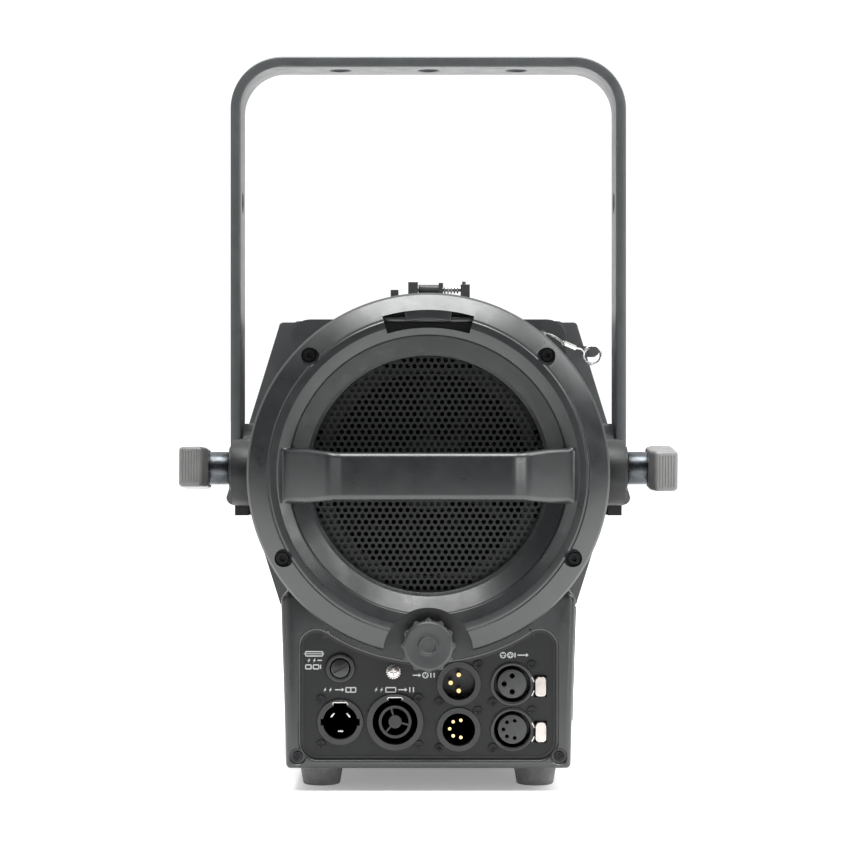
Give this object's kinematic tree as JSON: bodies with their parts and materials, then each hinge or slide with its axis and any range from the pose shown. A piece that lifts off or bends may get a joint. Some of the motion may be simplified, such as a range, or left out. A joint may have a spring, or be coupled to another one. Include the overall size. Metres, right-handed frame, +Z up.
{
  "type": "par can light",
  "caption": "Stage wash light with round vented rear cover and handle, hanging yoke with lock knobs, connector base on feet, zoom knob and folding barn doors.",
  "frame": {"origin": "on the floor under the centre of the whole light", "axes": "+Z up, +Y along the beam, -Y towards the rear cover, +X to the right seen from the rear"},
  "size_m": [0.298, 0.3138, 0.421],
  "materials": {
    "powder_coat": "satin slate-black powder coat",
    "panel_coat": "satin black powder coat with printed symbols",
    "yoke_coat": "satin powder coat on bent flat bar",
    "door_coat": "satin powder coat on sheet",
    "grille_coat": "satin black on perforated sheet",
    "black_plastic": "moulded black plastic",
    "knob_plastic": "satin dark grey plastic",
    "rubber": "matt",
    "black_steel": "black oxide",
    "plain_steel": "zinc plated",
    "bright_metal": "bright nickel",
    "nylon": "dark nylon",
    "gold": "gold plated",
    "heat_sink_alloy": "raw alloy",
    "led_board": "white board with a yellow phosphor disc",
    "circuit_board": "green laminate",
    "lens_glass": "clear",
    "lens_clamp": "black",
    "window": "tinted gloss",
    "button_cap": "grey plastic"
  },
  "bodies": {
    "housing": {"barrel": "powder_coat", "front_housing": "powder_coat", "lens": "lens_glass", "lens_ring": "lens_clamp", "rear_cover": "powder_coat", "grille": "grille_coat", "cover_screws": "black_steel", "safety_bar": "plain_steel", "base_shell": "powder_coat", "rear_bezel": "powder_coat", "connector_panel": "panel_coat", "feet": "rubber", "case_screws": "black_steel", "control_panel": "black_plastic", "display_window": "window", "fuse_holder": "black_plastic", "power_inlet": "black_plastic", "inlet_blades": "bright_metal", "power_outlet": "black_plastic", "data_inlets": "black_plastic", "data_pins": "gold", "data_outlets": "black_plastic", "connector_screws": "black_steel", "earth_screw": "bright_metal", "side_bracket_left": "powder_coat", "side_bracket_right": "powder_coat", "pivot_studs": "plain_steel", "friction_washers": "nylon", "guide_rods": "plain_steel", "fan_frame": "black_plastic", "power_supply": "heat_sink_alloy", "control_board": "circuit_board", "door_frame": "door_coat", "hinge_pins": "plain_steel", "latch_spring": "plain_steel", "lanyard": "plain_steel", "lanyard_fittings": "plain_steel"},
    "yoke_frame": {"yoke": "yoke_coat"},
    "left_knob": {"lock_knob_left": "knob_plastic"},
    "right_knob": {"lock_knob_right": "knob_plastic"},
    "zoom_drive": {"lead_screw": "plain_steel", "zoom_knob": "black_plastic"},
    "carriage": {"heat_sink": "heat_sink_alloy", "led_module": "led_board", "condenser": "lens_glass", "carriage_bushes": "gold"},
    "fan": {"fan_rotor": "black_plastic"},
    "fuse_carrier": {"fuse_cap": "black_plastic", "fuse_link": "lens_glass"},
    "upper_tab": {"push_tab_upper": "bright_metal"},
    "lower_tab": {"push_tab_lower": "bright_metal"},
    "mode_key": {"button_mode": "button_cap"},
    "enter_key": {"button_enter": "button_cap"},
    "up_key": {"button_up": "button_cap"},
    "down_key": {"button_down": "button_cap"},
    "latch": {"top_latch": "door_coat"},
    "bottom_door": {"leaf_bottom": "door_coat"},
    "top_door": {"leaf_top": "door_coat"},
    "left_door": {"leaf_left": "door_coat"},
    "right_door": {"leaf_right": "door_coat"}
  },
  "joints": [
    {"name": "yoke_tilt", "type": "hinge", "parent": "housing", "child": "yoke_frame", "pos_m": [0, 0.02915, 0.175], "axis": [1, 0, 0], "range_deg": [-45, 110]},
    {"name": "left_knob_turn", "type": "hinge", "parent": "housing", "child": "left_knob", "pos_m": [-0.14, 0.02915, 0.175], "axis": [-1, 0, 0], "range_deg": [0, 360]},
    {"name": "right_knob_turn", "type": "hinge", "parent": "housing", "child": "right_knob", "pos_m": [0.14, 0.02915, 0.175], "axis": [1, 0, 0], "range_deg": [0, 360]},
    {"name": "zoom_slide", "type": "slide", "parent": "housing", "child": "carriage", "axis": [0, 1, 0], "range_m": [0, 0.045]},
    {"name": "zoom_turn", "type": "hinge", "parent": "housing", "child": "zoom_drive", "pos_m": [0, -0.12085, 0.0825], "axis": [0, -1, 0], "range_deg": [0, 361]},
    {"name": "fan_spin", "type": "hinge", "parent": "housing", "child": "fan", "pos_m": [0, -0.10185, 0.175], "axis": [0, 1, 0], "continuous": true},
    {"name": "fuse_cap_turn", "type": "hinge", "parent": "housing", "child": "fuse_carrier", "pos_m": [-0.0485, -0.11085, 0.068], "axis": [0, 1, 0], "range_deg": [0, 90]},
    {"name": "upper_tab_press", "type": "slide", "parent": "housing", "child": "upper_tab", "axis": [0, 1, 0], "range_m": [0, 0.0015], "stiffness_N_per_m": 400, "springref_m": -0.0005},
    {"name": "lower_tab_press", "type": "slide", "parent": "housing", "child": "lower_tab", "axis": [0, 1, 0], "range_m": [0, 0.0015], "stiffness_N_per_m": 400, "springref_m": -0.0005},
    {"name": "mode_press", "type": "slide", "parent": "housing", "child": "mode_key", "axis": [-0.9995, 0, 0.0309], "range_m": [0, 0.0012], "stiffness_N_per_m": 500, "springref_m": -0.0005},
    {"name": "enter_press", "type": "slide", "parent": "housing", "child": "enter_key", "axis": [-0.9995, 0, 0.0309], "range_m": [0, 0.0012], "stiffness_N_per_m": 500, "springref_m": -0.0005},
    {"name": "up_press", "type": "slide", "parent": "housing", "child": "up_key", "axis": [-0.9995, 0, 0.0309], "range_m": [0, 0.0012], "stiffness_N_per_m": 500, "springref_m": -0.0005},
    {"name": "down_press", "type": "slide", "parent": "housing", "child": "down_key", "axis": [-0.9995, 0, 0.0309], "range_m": [0, 0.0012], "stiffness_N_per_m": 500, "springref_m": -0.0005},
    {"name": "latch_lift", "type": "hinge", "parent": "housing", "child": "latch", "pos_m": [0, 0.11715, 0.287], "axis": [1, 0, 0], "range_deg": [0, 60], "stiffness_Nm_per_rad": 0.06, "springref_deg": -17.19},
    {"name": "bottom_door_open", "type": "hinge", "parent": "housing", "child": "bottom_door", "pos_m": [0, 0.15425, 0.0795], "axis": [-1, 0, 0], "range_deg": [0, 150]},
    {"name": "top_door_open", "type": "hinge", "parent": "housing", "child": "top_door", "pos_m": [0, 0.14925, 0.2705], "axis": [1, 0, 0], "range_deg": [0, 90]},
    {"name": "left_door_open", "type": "hinge", "parent": "housing", "child": "left_door", "pos_m": [-0.092, 0.14525, 0.175], "axis": [0, 0, 1], "range_deg": [0, 90]},
    {"name": "right_door_open", "type": "hinge", "parent": "housing", "child": "right_door", "pos_m": [0.092, 0.14525, 0.175], "axis": [0, 0, -1], "range_deg": [0, 90]}
  ],
  "couplings": [
    {"joint": "zoom_turn", "follows": "zoom_slide", "rad_per_m": 139.63},
    {"joint": "top_door_open", "follows": "bottom_door_open", "ratio": 0.6},
    {"joint": "left_door_open", "follows": "bottom_door_open", "ratio": 0.6},
    {"joint": "right_door_open", "follows": "bottom_door_open", "ratio": 0.6}
  ]
}
